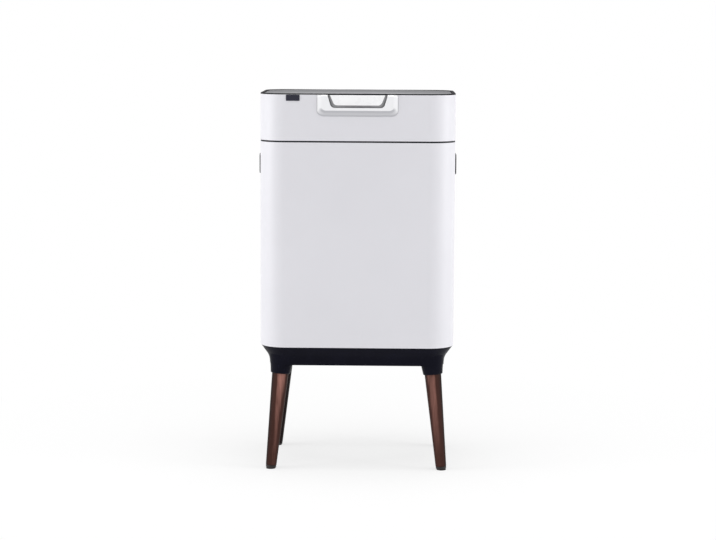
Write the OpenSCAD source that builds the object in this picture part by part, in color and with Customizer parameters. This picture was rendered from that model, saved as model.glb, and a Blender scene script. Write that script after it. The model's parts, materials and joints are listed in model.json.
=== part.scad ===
// Push-open kitchen bin on four wooden legs.
// Millimetres, +Z up, front towards -Y, origin on the floor under the middle of the body.

/* [Body] */
// Width of the body, side to side
body_w = 360; // [352:1:400]
// Depth of the body, front to back
body_d = 245; // [240:1:280]
// Corner radius of the body in plan
corner_r = 49; // [46:1:56]
// Height of the body's lower edge above the floor
body_bottom = 232; // [215:1:300]
// Height of the body shell
body_h = 379; // [370:1:440]
// Thickness of the painted steel sheet
sheet_t = 1.2; // [0.8:0.1:1.4]
// Visible height of the dark seam ring between body and hood
seam_h = 3; // [2:0.5:5]

/* [Base tray and legs] */
// Height of the flared skirt under the body
flare_h = 36; // [30:1:40]
// Height of the skirt's straight, sloping upper part
flare_straight = 16; // [12:1:18]
// Slope of that part from the vertical, in degrees
flare_angle = 36; // [30:1:40]
// Radius of the skirt's hollow lower curve
flare_r = 25; // [18:1:26]
// Wall of the base tray
tray_wall = 3; // [2:0.5:3.5]
// Drop of a leg socket's mouth below the body
socket_drop = 54; // [48:1:60]
// Wall of a leg socket at its mouth
socket_wall = 2.7; // [1.5:0.1:3]
// How much wider a socket grows up to the tray
socket_flare = 13; // [10:1:17]
// Depth of the leg in its socket
socket_depth = 32; // [26:1:34]
// Distance of a leg's axis at the mouth from the body's side
leg_inset_x = 37.5; // [37:0.5:44]
// Distance of a leg's axis at the mouth from the body's front or back
leg_inset_y = 36; // [33:0.5:40]
// Sideways splay of a foot from the mouth
splay_x = 17; // [8:0.5:22]
// Front-to-back splay of a foot from the mouth
splay_y = 16; // [8:0.5:20]
// Leg radius at the socket mouth
leg_r = 15.5; // [12:0.5:16]
// Leg radius at the foot
foot_r = 10; // [8:0.2:12]
// Height of the foot glide
glide_h = 6; // [4:0.5:9]
// Radius of the threaded stud in a leg's top
stud_r = 4; // [3:0.5:5]
// Length of the stud in the leg
stud_in_leg = 25; // [18:1:30]
// Length of the stud in the tray's insert
stud_in_tray = 14; // [10:1:15]

/* [Floor pan] */
// Thickness of the floor pan
pan_t = 2; // [1.5:0.5:3]
// Width of the body shell's folded lower flange
flange_w = 14; // [10:1:16]
// Height of the stops that keep the bucket in place
stop_h = 5; // [3:1:8]
// Radius of a base screw's shank
base_screw_r = 2; // [1.5:0.25:2.5]

/* [Side grips] */
// Length of a side grip
grip_l = 130; // [96:1:134]
// Height of a side grip
grip_h = 37; // [30:1:40]
// Depth of the finger recess
grip_depth = 15; // [12:0.5:16]
// How far a side grip stands proud of the body
grip_proud = 2.5; // [1:0.25:3]
// Distance from the seam down to the grip
grip_drop = 24; // [20:1:60]

/* [Bucket] */
// Gap between the bucket's rim and the body at each side
bucket_side_gap = 28; // [26:0.5:32]
// Gap between the bucket's rim and the body at front and back
bucket_front_gap = 20.5; // [18.5:0.5:24]
// Height of the bucket
bucket_h = 330; // [280:1:332]
// How much narrower the bucket is at its foot, in all
bucket_taper = 22; // [14:1:30]
// Wall of the bucket
bucket_wall = 2.4; // [1.8:0.2:3]
// Radius of the bail's wire
bail_r = 2.5; // [2:0.25:3]
// Length of the bail's grip
bail_grip_l = 96; // [80:1:120]

/* [Hood and lid] */
// Height of the hood shell
hood_h = 84; // [82:1:100]
// Depth of the hood's spigot in the seam ring
spigot_h = 12; // [8:1:14]
// Thickness of the dark rim on the hood
rim_t = 2; // [1.5:0.25:3]
// Width of the rim seen from above
rim_w = 6.2; // [5:0.2:8]
// Gap between the rim and the lid
lid_gap = 1; // [0.8:0.1:1.5]
// Crown of the lid from its middle to its corners
lid_crown = 3; // [1:0.5:4]
// Thickness of the lid's steel panel
lid_sheet = 1; // [0.8:0.1:1.2]
// Radius of the lid's hinge barrel
barrel_r = 8; // [7.5:0.25:8.5]
// Distance of the hinge axis from the back of the body
hinge_inset = 24.5; // [23:0.5:28]
// Radius of the hinge pin
hinge_pin_r = 2; // [1.5:0.25:2.5]

/* [Damper] */
// Module of the damper's teeth
tooth_module = 1; // [1:0.05:1.1]
// Teeth of a whole circle of the lid's gear sector
sector_teeth = 30; // [28:1:32]
// Teeth of the damper's gear
damper_teeth = 12; // [11:1:14]
// Play between meshing teeth, along the pitch circle
tooth_play = 0.35; // [0.3:0.05:0.5]
// Width of the gear sector
sector_w = 5; // [4:0.5:6]

/* [Push pad and latch] */
// Width of the silver bezel
bezel_w = 148; // [142:1:160]
// Height of the silver bezel
bezel_h = 39; // [37:1:44]
// How far the bezel stands proud of the hood
bezel_proud = 3.5; // [2.5:0.5:4.5]
// Width of the pad's opening at its top
pad_top_w = 109; // [102:1:114]
// Width of the pad's opening at its bottom
pad_bottom_w = 99; // [90:1:101]
// Height of the pad's opening
pad_h = 23.5; // [21:0.5:24]
// Width of the dark border round the white pad
pad_border = 4; // [3:0.5:5]
// Travel of the pad when pressed
pad_travel = 4; // [3:0.5:4]
// Radius of the latch rocker's pin
latch_pin_r = 1.5; // [1:0.25:2]
// Width of the blank plate at the hood's upper left
plate_w = 25; // [20:1:30]
// Height of the blank plate
plate_h = 11; // [8:0.5:13]
// Thickness of the blank plate
plate_t = 0.8; // [0.5:0.1:1.2]

/* [Hidden] */
$fn = 64;

// Clearances: fixed fit, running fit, slack between moving parts; e makes cuts run through
fit = 0.1;
run = 0.05;
slack = 0.4;
e = 1;

// Levels of the stack
body_top = body_bottom + body_h;
hood_bottom = body_top + seam_h;
hood_top = hood_bottom + hood_h;
rim_top = hood_top + rim_t;
pan_bottom = body_bottom + sheet_t;
pan_top = pan_bottom + pan_t;
half_w = body_w / 2;
half_d = body_d / 2;

// ---------- shapes that follow the body's outline ----------

// The body's plan, drawn in by i all round
module plan(i = 0) {
    w = body_w - 2 * i;
    d = body_d - 2 * i;
    r = max(corner_r - i, 4);
    square([w, d - 2 * r], center = true);
    square([w - 2 * r, d], center = true);
    for (sx = [-1, 1], sy = [-1, 1])
        translate([sx * (w / 2 - r), sy * (d / 2 - r)]) circle(r);
}

// A solid slab of that plan between two levels
module slab(i, z0, z1) {
    translate([0, 0, z0]) linear_extrude(z1 - z0) plan(i);
}

// A ring of that plan between two insets and two levels
module band(i0, i1, z0, z1) {
    difference() {
        slab(i0, z0, z1);
        slab(i1, z0 - e, z1 + e);
    }
}

// A closed profile of [inset, level] points carried round the plan
module sweep(points) {
    straight_x = body_w - 2 * corner_r;
    straight_y = body_d - 2 * corner_r;
    for (k = [0:3]) {
        sx = (k == 0 || k == 3) ? 1 : -1;
        sy = (k < 2) ? 1 : -1;
        translate([sx * straight_x / 2, sy * straight_y / 2, 0]) rotate([0, 0, 90 * k])
            rotate_extrude(angle = 90) polygon([for (p = points) [corner_r - p.x, p.y]]);
    }
    for (s = [-1, 1]) {
        translate([-straight_x / 2, 0, 0]) rotate([90, 0, 90]) linear_extrude(straight_x)
            polygon([for (p = points) [s * (half_d - p.x), p.y]]);
        translate([0, straight_y / 2, 0]) rotate([90, 0, 0]) linear_extrude(straight_y)
            polygon([for (p = points) [s * (half_w - p.x), p.y]]);
    }
}

// A box given by its lowest and highest corners
module span(low, high) {
    translate(low) cube(high - low);
}

// A rod along X, centred on x = 0 unless x0 is given
module rod_x(r, x0, x1, y, z) {
    translate([x0, y, z]) rotate([0, 90, 0]) cylinder(r = r, h = x1 - x0);
}

// A pan-head screw pointing up from the origin: head below, shank above
module screw(shank_r, shank_l) {
    head_h = shank_r;
    translate([0, 0, -head_h]) cylinder(r = 2 * shank_r, h = head_h);
    cylinder(r = shank_r, h = shank_l);
}

// A helical spring along Z: sides and rings are kept low, turns follow the count
function ring_at(a, r, pitch, wire_r, sides) =
    [for (k = [0:sides - 1]) let (b = 360 * k / sides)
        [(r + wire_r * cos(b)) * cos(a), (r + wire_r * cos(b)) * sin(a),
         pitch * a / 360 + wire_r * sin(b)]];
module coil(r, wire_r, turns, length) {
    sides = 6;
    per_turn = 8;
    n = turns * per_turn;
    pitch = (length - 2 * wire_r) / turns;
    points = [for (i = [0:n]) each ring_at(360 * i / per_turn, r, pitch, wire_r, sides)];
    walls = [for (i = [0:n - 1], k = [0:sides - 1])
        let (a = i * sides, b = a + sides, m = (k + 1) % sides)
            each [[a + k, b + k, b + m], [a + k, b + m, a + m]]];
    first_cap = [for (k = [1:sides - 2]) [0, k, k + 1]];
    last_cap = [for (k = [1:sides - 2]) [n * sides, n * sides + k + 1, n * sides + k]];
    echo(coil_gap = pitch - 2 * wire_r);
    translate([0, 0, wire_r]) polyhedron(points, concat(walls, first_cap, last_cap));
}

// ---------- base: tray, legs, floor ----------

mouth_level = body_bottom - socket_drop;
leg_mouth_x = half_w - leg_inset_x;
leg_mouth_y = half_d - leg_inset_y;
leg_length = norm([splay_x, splay_y, mouth_level]);
socket_r = leg_r + socket_wall;
tray_floor = body_bottom - tray_wall;
insert_r = stud_r + 1.5;
spigot_r = leg_r - 0.2;

// The four leg positions as [side, front or back]
LEGS = [[-1, -1], [1, -1], [-1, 1], [1, 1]];

// Puts a child on a leg's axis: its own z = 0 on the floor, z = leg_length at the socket's mouth
module on_leg(s) {
    translate([s.x * (leg_mouth_x + splay_x), s.y * (leg_mouth_y + splay_y), 0])
        rotate([0, 0, atan2(-s.y * splay_y, -s.x * splay_x)])
            rotate([0, acos(mouth_level / leg_length), 0]) children();
}

// Outer line of the skirt: straight slope, hollow curve, then nearly upright; inset grows by shift
flare_draft = 5;
flare_in = 0.5;
flare_x1 = flare_in + flare_straight * tan(flare_angle);
flare_arc_h = flare_r * (sin(flare_angle) - sin(flare_draft));
flare_x2 = flare_x1 + flare_r * (cos(flare_draft) - cos(flare_angle));
flare_x3 = flare_x2 + (flare_h - flare_straight - flare_arc_h) * tan(flare_draft);
function flare_line(shift) = concat(
    [[flare_in + shift, body_bottom]],
    [for (t = [0:0.2:1]) let (a = flare_angle + (flare_draft - flare_angle) * t)
        [shift + flare_x1 + flare_r * (cos(a) - cos(flare_angle)),
         body_bottom - flare_straight - flare_r * (sin(flare_angle) - sin(a))]],
    [[flare_x3 + shift, body_bottom - flare_h]]);
function reversed(list) = [for (i = [len(list) - 1:-1:0]) list[i]];

// Trumpet outline of a socket along its leg's axis
function trumpet_r(t) = socket_r + socket_flare * (0.4 * t + 0.6 * t * t);
module trumpet() {
    top = socket_drop + 1;
    rotate_extrude() polygon(concat(
        [[0, leg_length], [socket_r - 1, leg_length], [socket_r, leg_length + 1]],
        [for (k = [1:8]) [trumpet_r(k / 8), leg_length + top * k / 8]],
        [[0, leg_length + top]]));
}

// Base screws sit on this inset, clear of the shell's flange
base_screw_inset = flange_w + 12;
module at_base_screws() {
    for (s = [-1, 1]) {
        for (x = [-body_w / 5, body_w / 5])
            translate([x, s * (half_d - base_screw_inset), 0]) children();
        translate([s * (half_w - base_screw_inset), 0, 0]) children();
    }
}

module base_tray() {
    rib_level = body_bottom - flare_h / 2 - 1;
    rib_inset = flare_x3 + 1;
    color("#17171a") difference() {
        union() {
            sweep(concat(flare_line(0), reversed(flare_line(tray_wall))));
            slab(flare_in + tray_wall, tray_floor, body_bottom);
            slab(sheet_t + flange_w, body_bottom - e, pan_bottom);
            intersection() {
                for (s = LEGS) on_leg(s) trumpet();
                slab(flare_in, 0, body_bottom);
            }
            for (x = [-body_w / 5, 0, body_w / 5])
                span([x - 1, -half_d + rib_inset, rib_level], [x + 1, half_d - rib_inset, tray_floor + e]);
            span([-half_w + rib_inset, -1, rib_level], [half_w - rib_inset, 1, tray_floor + e]);
        }
        for (s = LEGS) on_leg(s) {
            translate([0, 0, leg_length - 20]) cylinder(r = spigot_r + slack / 2, h = 20 + socket_depth);
            translate([0, 0, leg_length]) cylinder(r = insert_r, h = socket_depth + stud_in_tray);
        }
        at_base_screws() {
            translate([0, 0, rib_level - e]) cylinder(r = base_screw_r + run, h = flare_h);
            translate([0, 0, rib_level - e])
                cylinder(r = 2 * base_screw_r + 1, h = tray_floor - rib_level + e);
        }
    }
}

module leg(s) {
    color("#6b3d2e") difference() {
        on_leg(s) rotate_extrude() polygon([
            [0, glide_h], [foot_r - 1, glide_h], [foot_r, glide_h + 1], [leg_r, leg_length - fit],
            [spigot_r, leg_length + 1], [spigot_r, leg_length + socket_depth - 1],
            [spigot_r - 1, leg_length + socket_depth], [0, leg_length + socket_depth]]);
        on_leg(s) {
            translate([0, 0, leg_length + socket_depth - stud_in_leg])
                cylinder(r = stud_r, h = stud_in_leg + e);
            cylinder(r = nail_r, h = glide_h + nail_in_leg);
        }
    }
}
module leg_front_left() leg(LEGS[0]);
module leg_front_right() leg(LEGS[1]);
module leg_rear_left() leg(LEGS[2]);
module leg_rear_right() leg(LEGS[3]);

module leg_studs() {
    color("silver") for (s = LEGS) on_leg(s)
        translate([0, 0, leg_length + socket_depth - stud_in_leg])
            cylinder(r = stud_r, h = stud_in_leg + stud_in_tray);
}

module stud_inserts() {
    color("goldenrod") for (s = LEGS) on_leg(s)
        translate([0, 0, leg_length + socket_depth]) difference() {
            cylinder(r = insert_r, h = stud_in_tray);
            translate([0, 0, -e]) cylinder(r = stud_r, h = stud_in_tray + 2 * e);
        }
}

// Glides are cut flat on the floor
nail_r = 1.2;
nail_in_leg = 16;
nail_start = 3;
module foot_glides() {
    color("#241a18") difference() {
        for (s = LEGS) on_leg(s) rotate_extrude() polygon([
            [0, -4], [foot_r - 1.6, -4], [foot_r - 1.2, 1.5],
            [foot_r - 0.2, 3.5], [foot_r - 0.4, glide_h], [0, glide_h]]);
        span([-body_w, -body_w, -body_bottom], [body_w, body_w, 0]);
        for (s = LEGS) on_leg(s) translate([0, 0, nail_start]) cylinder(r = nail_r, h = glide_h);
    }
}

module glide_nails() {
    color("silver") for (s = LEGS) on_leg(s)
        translate([0, 0, nail_start]) cylinder(r = nail_r, h = glide_h + nail_in_leg - nail_start);
}

// Floor pan: a plate with four round stops that the bucket's foot stands between
module floor_pan() {
    stop_r = 4;
    from_foot = stop_r + 1;
    color("lightgrey") difference() {
        union() {
            slab(sheet_t + fit, pan_bottom, pan_top);
            for (s = [-1, 1]) {
                translate([s * (bucket_foot_w / 2 + from_foot), 0, pan_top - e])
                    cylinder(r = stop_r, h = stop_h + e);
                translate([0, s * (bucket_foot_d / 2 + from_foot), pan_top - e])
                    cylinder(r = stop_r, h = stop_h + e);
            }
        }
        at_base_screws() translate([0, 0, pan_bottom - e]) cylinder(r = base_screw_r, h = pan_t + 2 * e);
    }
}

module base_screws() {
    color("silver") at_base_screws()
        translate([0, 0, tray_floor]) screw(base_screw_r, pan_top - tray_floor);
}

// ---------- body ----------

grip_z = body_top - grip_drop - grip_h / 2;
cup_wall = 2;
cup_l = grip_l - 12;
cup_h = grip_h - 5;
cup_r = 5;

// A rounded bar standing in the YZ plane, running along X from x0 to x1
module bar_x(l, h, r, x0, x1, z) {
    translate([x0, 0, z]) rotate([90, 0, 90]) linear_extrude(x1 - x0) {
        square([l, h - 2 * r], center = true);
        square([l - 2 * r, h], center = true);
        for (sy = [-1, 1], sz = [-1, 1]) translate([sy * (l / 2 - r), sz * (h / 2 - r)]) circle(r);
    }
}

module body_shell() {
    color("#dcdce0") difference() {
        union() {
            band(0, sheet_t, body_bottom, body_top);
            band(0, sheet_t + flange_w, body_bottom, pan_bottom);
        }
        for (s = [-1, 1])
            bar_x(cup_l + 2 * fit, cup_h + 2 * fit, cup_r, s * half_w - 4, s * half_w + 4, grip_z);
    }
}

// Seam ring: a thin flange between body and hood with a skirt inside the body
skirt_t = 2;
skirt_h = 14;
module seam_ring() {
    color("#202024") union() {
        band(0.6, sheet_t + fit + skirt_t, body_top, hood_bottom);
        band(sheet_t + fit, sheet_t + fit + skirt_t, body_top - skirt_h, body_top + e);
    }
}

// A side grip: outer frame, finger cup and the snap lugs that hold it behind the sheet
module side_grip() {
    lug = 1.2;
    behind = half_w - sheet_t - fit;
    color("#202024") difference() {
        union() {
            bar_x(grip_l, grip_h, 8, half_w, half_w + grip_proud, grip_z);
            bar_x(cup_l, cup_h, cup_r, half_w - grip_depth - cup_wall, half_w + grip_proud, grip_z);
            for (y = [-cup_l / 3, cup_l / 3])
                span([behind - 3, y - 5, grip_z - cup_h / 2 - lug],
                    [behind, y + 5, grip_z + cup_h / 2 + lug]);
        }
        bar_x(cup_l - 2 * cup_wall, cup_h - 2 * cup_wall, cup_r - 1,
            half_w - grip_depth, half_w + 4 * e, grip_z);
    }
}
module side_grip_left() mirror([1, 0, 0]) side_grip();
module side_grip_right() side_grip();

// ---------- bucket and bail ----------

lip_w = 4;
lip_h = 4;
bucket_w = body_w - 2 * bucket_side_gap;
bucket_d = body_d - 2 * bucket_front_gap;
bucket_foot_w = bucket_w - 2 * lip_w - bucket_taper;
bucket_foot_d = bucket_d - 2 * lip_w - bucket_taper;
bucket_top = pan_top + bucket_h;
bail_z = bucket_top + bail_r + 0.3;
ear_r = 4 + bail_r;
ear_t = 3;
ear_out = bucket_w / 2 - 3;
bail_bend = 4;
bail_x = ear_out + 0.5 + bail_bend;
bail_grip_r = bail_r + 3.5;
bail_reach = bucket_d / 2 + bail_grip_r + 2;
bail_corner = 22;

// A rounded rectangle of any size
module rounded(w, d, r) {
    square([w, d - 2 * r], center = true);
    square([w - 2 * r, d], center = true);
    for (sx = [-1, 1], sy = [-1, 1]) translate([sx * (w / 2 - r), sy * (d / 2 - r)]) circle(r);
}

// Tapered solid between the bucket's foot and its rim, drawn in by t, from level z0 to z1
foot_corner = 28;
rim_corner = 34;
module bucket_solid(t, z0, z1) {
    thin = 0.1;
    hull() {
        translate([0, 0, z0]) linear_extrude(thin)
            rounded(bucket_foot_w - 2 * t, bucket_foot_d - 2 * t, foot_corner - t, $fn = 32);
        translate([0, 0, z1 - thin]) linear_extrude(thin)
            rounded(bucket_w - 2 * lip_w - 2 * t, bucket_d - 2 * lip_w - 2 * t, rim_corner - t, $fn = 32);
    }
}

module bucket() {
    color("#3a3a3d") difference() {
        union() {
            bucket_solid(0, pan_top, bucket_top);
            translate([0, 0, bucket_top - lip_h]) linear_extrude(lip_h)
                rounded(bucket_w, bucket_d, rim_corner + lip_w);
            for (s = [-1, 1]) {
                x0 = s > 0 ? ear_out - ear_t : -ear_out;
                rod_x(ear_r, x0, x0 + ear_t, 0, bail_z);
                span([x0, -ear_r, bucket_top - lip_h + 1], [x0 + ear_t, ear_r, bail_z]);
            }
        }
        bucket_solid(bucket_wall, pan_top + bucket_wall, bucket_top + e);
        rod_x(bail_r + run, -bucket_w, bucket_w, 0, bail_z);
    }
}

// Half of the bail: pin in the ear, bend, arm, corner and half of the cross bar
module bail_half() {
    arm_end = bail_reach - bail_corner;
    translate([0, 0, bail_z]) {
        rotate([0, 90, 0]) translate([0, 0, ear_out - ear_t - 1]) cylinder(r = bail_r, h = ear_t + 1.5);
        rotate([0, 90, 0]) translate([0, 0, ear_out - ear_t - 2]) cylinder(r = bail_r + 1, h = 1.5);
        translate([bail_x - bail_bend, bail_bend, 0]) rotate([0, 0, -90])
            rotate_extrude(angle = 90) translate([bail_bend, 0]) circle(bail_r);
        translate([bail_x, bail_bend, 0]) rotate([-90, 0, 0]) cylinder(r = bail_r, h = arm_end - bail_bend);
        translate([bail_x - bail_corner, arm_end, 0])
            rotate_extrude(angle = 90) translate([bail_corner, 0]) circle(bail_r);
        translate([0, bail_reach, 0]) rotate([0, 90, 0]) cylinder(r = bail_r, h = bail_x - bail_corner);
    }
}
module bail() {
    color("silver") union() {
        bail_half();
        mirror([1, 0, 0]) bail_half();
    }
}

module bail_grip() {
    color("#202024") difference() {
        rod_x(bail_grip_r, -bail_grip_l / 2, bail_grip_l / 2, bail_reach, bail_z);
        rod_x(bail_r + run, -bail_grip_l, bail_grip_l, bail_reach, bail_z);
        for (k = [-2:2])
            translate([k * bail_grip_l / 6, bail_reach, bail_z]) rotate([0, 90, 0]) difference() {
                cylinder(r = bail_grip_r + e, h = 3, center = true);
                cylinder(r = bail_grip_r - 0.8, h = 3 + e, center = true);
            }
    }
}

// ---------- hood ----------

frame_t = 2.2;
wall_out = sheet_t + fit;
wall_in = wall_out + frame_t;
spigot_out = wall_out + skirt_t + slack;
spigot_in = spigot_out + frame_t;
rim_out = 0.3;
rim_in = rim_out + rim_w;
lid_edge = rim_in + lid_gap;
lid_depth = 10;
lid_bottom = rim_top - lid_depth;
seat_t = 3;
seat_w = 9.5;
bumper_h = 2.5;
seat_top = lid_bottom - bumper_h;
seat_bottom = seat_top - seat_t;

// Hinge line
hinge_y = half_d - hinge_inset;
hinge_z = rim_top - barrel_r;
ear_w = 6;
bay_side_gap = 22.4;
bay_x = half_w - bay_side_gap;
outer_ear_x = bay_x - 7.6;
EARS = [-outer_ear_x, -outer_ear_x / 3, outer_ear_x / 3, outer_ear_x];
guard_r = barrel_r * sqrt(2);
guard_gap = 1;
lid_rear = hinge_y - barrel_r - 1;
deck_front = hinge_y + barrel_r + 0.5;

// Damper gears
sector_pitch_r = tooth_module * sector_teeth / 2;
damper_pitch_r = tooth_module * damper_teeth / 2;
damper_z = hinge_z - sector_pitch_r - damper_pitch_r;
sector_from_bay = 51.6;
sector_x = bay_x - sector_from_bay;
housing_x = sector_x + sector_w + 0.6;
housing_l = 8.4;
housing_r = 9.5;
bracket_x = housing_x + housing_l;
bracket_t = 3;
lug_y = housing_r + 3;
damper_shaft_r = 2;
damper_screw_r = 1.25;

// Push pad opening, latch and their housing
pad_low = hood_top - pad_h;
pad_slack = 0.5;
pad_corner = 8;
pad_top_gap = 0.6;
plate_front = -half_d - 1;
plate_back = -half_d + lid_edge - pad_travel - pad_slack;
flange_front = -half_d + wall_in + 0.3;
carrier_flange_t = 2.5;
carrier_flange_x = pad_top_w / 2 + 5.8;
carrier_flange_low = pad_low - 7.5;
carrier_flange_high = seat_bottom - 1;
window_x = pad_top_w / 2 + 2.5;
window_low = pad_low - 2.5;
box_in = carrier_flange_x + 0.7;
box_wall = 3;
box_low = pad_low - 14;
box_floor_t = 2;
box_back = -half_d + 34.5;
box_back_t = 2;
arm_t = 3;
arm_front = -half_d + 19.5;
pivot_y = arm_front + arm_t / 2;
pivot_z = box_low + 7.5;
rocker_w = 16;
keeper_t = 1.1;
hook_gap = 0.2;
hook_reach = 4;
hook_top = lid_bottom + hook_gap + 3.3;
plunger_low = pivot_z + 12;
plunger_h = 5;

// Outline of the pad's opening in the XZ plane, drawn in by i, up to level top
module pad_outline(i, top) {
    hull() {
        for (s = [-1, 1]) {
            translate([s * (pad_bottom_w / 2 - i - pad_corner), pad_low + i + pad_corner])
                circle(pad_corner, $fn = 32);
            translate([s * (pad_top_w / 2 - i) - 0.05, top - 0.1]) square(0.1);
        }
    }
}
// The whole opening, run out through the top of the hood
module pad_opening() {
    pad_outline(0, hood_top);
    translate([-pad_top_w / 2, hood_top - 0.1]) square([pad_top_w, rim_t]);
}
// Gives an XZ outline thickness from y0 back to y1
module plate_y(y0, y1) {
    translate([0, y1, 0]) rotate([90, 0, 0]) linear_extrude(y1 - y0) children();
}

bezel_screw_r = 1.25;
bezel_screw_x = box_in + box_wall + 2 * bezel_screw_r + 0.3;
bezel_screw_z = hood_top - bezel_h + 15;
bezel_boss_r = 3;
module at_bezel_screws() {
    for (s = [-1, 1]) translate([s * bezel_screw_x, 0, bezel_screw_z]) rotate([90, 0, 0]) children();
}

module hood_shell() {
    color("#dcdce0") difference() {
        band(0, sheet_t, hood_bottom, hood_top);
        span([-window_x, -half_d - e, window_low], [window_x, 0, hood_top + e]);
        at_bezel_screws() cylinder(r = bezel_boss_r + fit, h = body_d);
    }
}

// Bezel outline in the XZ plane, drawn in by i at its sides and bottom
module bezel_outline(i) {
    r = 12 - i / 2;
    hull() {
        for (s = [-1, 1]) {
            translate([s * (bezel_w / 2 - i - r), hood_top - bezel_h + i + r]) circle(r, $fn = 32);
            translate([s * (bezel_w / 2 - i) - 0.05, hood_top - 0.1]) square(0.1);
        }
    }
}

// A blank plate glued on under the rim, where the front begins to turn into the corner
module blank_plate() {
    r = 1.5;
    color("#2a2a2e") translate([-half_w + corner_r + 0.5 + plate_w / 2, 0, hood_top - 0.3 - plate_h / 2])
        plate_y(-half_d - plate_t, -half_d) rounded(plate_w, plate_h, r);
}

module bezel() {
    bevel = 5;
    step = bezel_proud - 1.2;
    color("#e8e8ec") difference() {
        union() {
            hull() {
                plate_y(-half_d - 0.8, -half_d) bezel_outline(0);
                plate_y(-half_d - step, -half_d) bezel_outline(bevel);
            }
            hull() {
                plate_y(-half_d - step, -half_d) bezel_outline(bevel);
                plate_y(-half_d - bezel_proud, -half_d) bezel_outline(bevel + 2.5);
            }
            at_bezel_screws() translate([0, 0, half_d - wall_out])
                cylinder(r = bezel_boss_r, h = wall_out + e);
        }
        plate_y(-half_d - 2 * bezel_proud, 0) pad_opening();
        at_bezel_screws() cylinder(r = bezel_screw_r, h = half_d + 1);
    }
}

module bezel_screws() {
    color("silver") at_bezel_screws()
        translate([0, 0, half_d - wall_in]) screw(bezel_screw_r, wall_in + 1);
}

// Box behind the pad: cheeks, floor, back wall and the two posts that hold the latch pin
module latch_box() {
    front = -half_d + wall_in - e;
    for (s = [-1, 1]) {
        x0 = s > 0 ? box_in : -box_in - box_wall;
        span([x0, front, box_low], [x0 + box_wall, box_back, seat_bottom + e]);
        p0 = s > 0 ? rocker_w / 2 + 1 : -rocker_w / 2 - 4;
        span([p0, pivot_y - 5, box_low], [p0 + 3, pivot_y + 5, pivot_z + 5]);
    }
    span([-box_in - 1, front, box_low], [box_in + 1, box_back, box_low + box_floor_t]);
    span([-box_in - 1, box_back - box_back_t, box_low], [box_in + 1, box_back, seat_bottom]);
}

module hood_frame() {
    color("#202024") difference() {
        union() {
            difference() {
                union() {
                    band(wall_out, wall_in, hood_bottom, hood_top + rim_t / 2);
                    band(wall_out, spigot_in, hood_bottom, hood_bottom + 3);
                    band(spigot_out, spigot_in, hood_bottom - spigot_h, hood_bottom + 1);
                    band(wall_in - fit, rim_in, seat_bottom, hood_top + rim_t / 2);
                    band(rim_out, rim_in, hood_top, rim_top);
                    band(rim_in - fit, rim_in + seat_w, seat_bottom, seat_top);
                    intersection() {
                        slab(rim_out, hood_top, rim_top);
                        span([-body_w, deck_front, 0], [body_w, body_d, 2 * rim_top]);
                    }
                    intersection() {
                        slab(wall_out, hood_top - 2, hood_top);
                        span([-body_w, deck_front, 0], [body_w, body_d, 2 * rim_top]);
                    }
                    for (s = [-1, 1]) intersection() {
                        slab(rim_out, hood_top, rim_top);
                        corner_block(s);
                    }
                    for (s = [-1, 1]) intersection() {
                        slab(wall_out, seat_bottom, hood_top);
                        corner_block(s);
                    }
                }
                span([-bay_x, lid_rear - 5, seat_bottom - e], [bay_x, half_d - wall_in, hood_top - 2]);
                span([-window_x, -half_d, window_low],
                    [window_x, -half_d + rim_in + seat_w + e, hood_top]);
            }
            intersection() {
                union() {
                    for (x = EARS) hinge_ear(x);
                    span([bracket_x, hinge_y - lug_y - 3, damper_z - 6],
                        [bracket_x + bracket_t, half_d - wall_in + e, damper_z + 6]);
                }
                slab(wall_out + frame_t / 2, box_low, rim_top);
            }
            latch_box();
        }
        rod_x(hinge_pin_r + run, -bay_x, bay_x, hinge_y, hinge_z);
        rod_x(latch_pin_r, -rocker_w, rocker_w, pivot_y, pivot_z);
        at_bezel_screws() cylinder(r = bezel_screw_r + run, h = body_d);
        for (s = [-1, 1])
            rod_x(damper_screw_r, bracket_x - e, bracket_x + bracket_t + e, hinge_y + s * lug_y, damper_z);
        at_bumpers() translate([0, 0, seat_bottom - e]) cylinder(r = bumper_r / 2, h = seat_t + 2 * e);
    }
}

// An ear round the hinge pin, with its support at the back wall
module hinge_ear(x) {
    rod_x(barrel_r - fit, x - ear_w / 2, x + ear_w / 2, hinge_y, hinge_z);
    span([x - ear_w / 2, hinge_y, hinge_z - 5], [x + ear_w / 2, half_d - wall_in + e, hood_top - 1]);
}

// The rim's filled corner beside the hinge barrel, on side s, with a front round about the hinge
module corner_block(s) {
    x0 = s > 0 ? bay_x : -body_w;
    x1 = s > 0 ? body_w : -bay_x;
    rod_x(guard_r, x0, x1, hinge_y, hinge_z);
    span([x0, hinge_y, 0], [x1, body_d, 2 * rim_top]);
}

// What the lid leaves free in front of those blocks
module corner_clearance() {
    for (s = [-1, 1]) {
        x0 = s > 0 ? bay_x - slack : -body_w;
        x1 = s > 0 ? body_w : slack - bay_x;
        rod_x(guard_r + guard_gap, x0, x1, hinge_y, hinge_z);
    }
}

bumper_r = 4;
module at_bumpers() {
    inset = rim_in + seat_w / 2;
    for (s = [-1, 1]) {
        translate([s * (bezel_w / 2 + 26), -half_d + inset, 0]) children();
        translate([s * (half_w - inset), half_d / 4, 0]) children();
    }
}
module lid_bumpers() {
    color("#101012") at_bumpers() {
        translate([0, 0, seat_top]) cylinder(r = bumper_r, h = bumper_h - fit);
        translate([0, 0, seat_bottom]) cylinder(r = bumper_r / 2, h = seat_t + fit);
    }
}

module hinge_pin() {
    end = EARS[3] + ear_w / 2;
    color("silver") rod_x(hinge_pin_r, -end, end, hinge_y, hinge_z);
}

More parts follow.
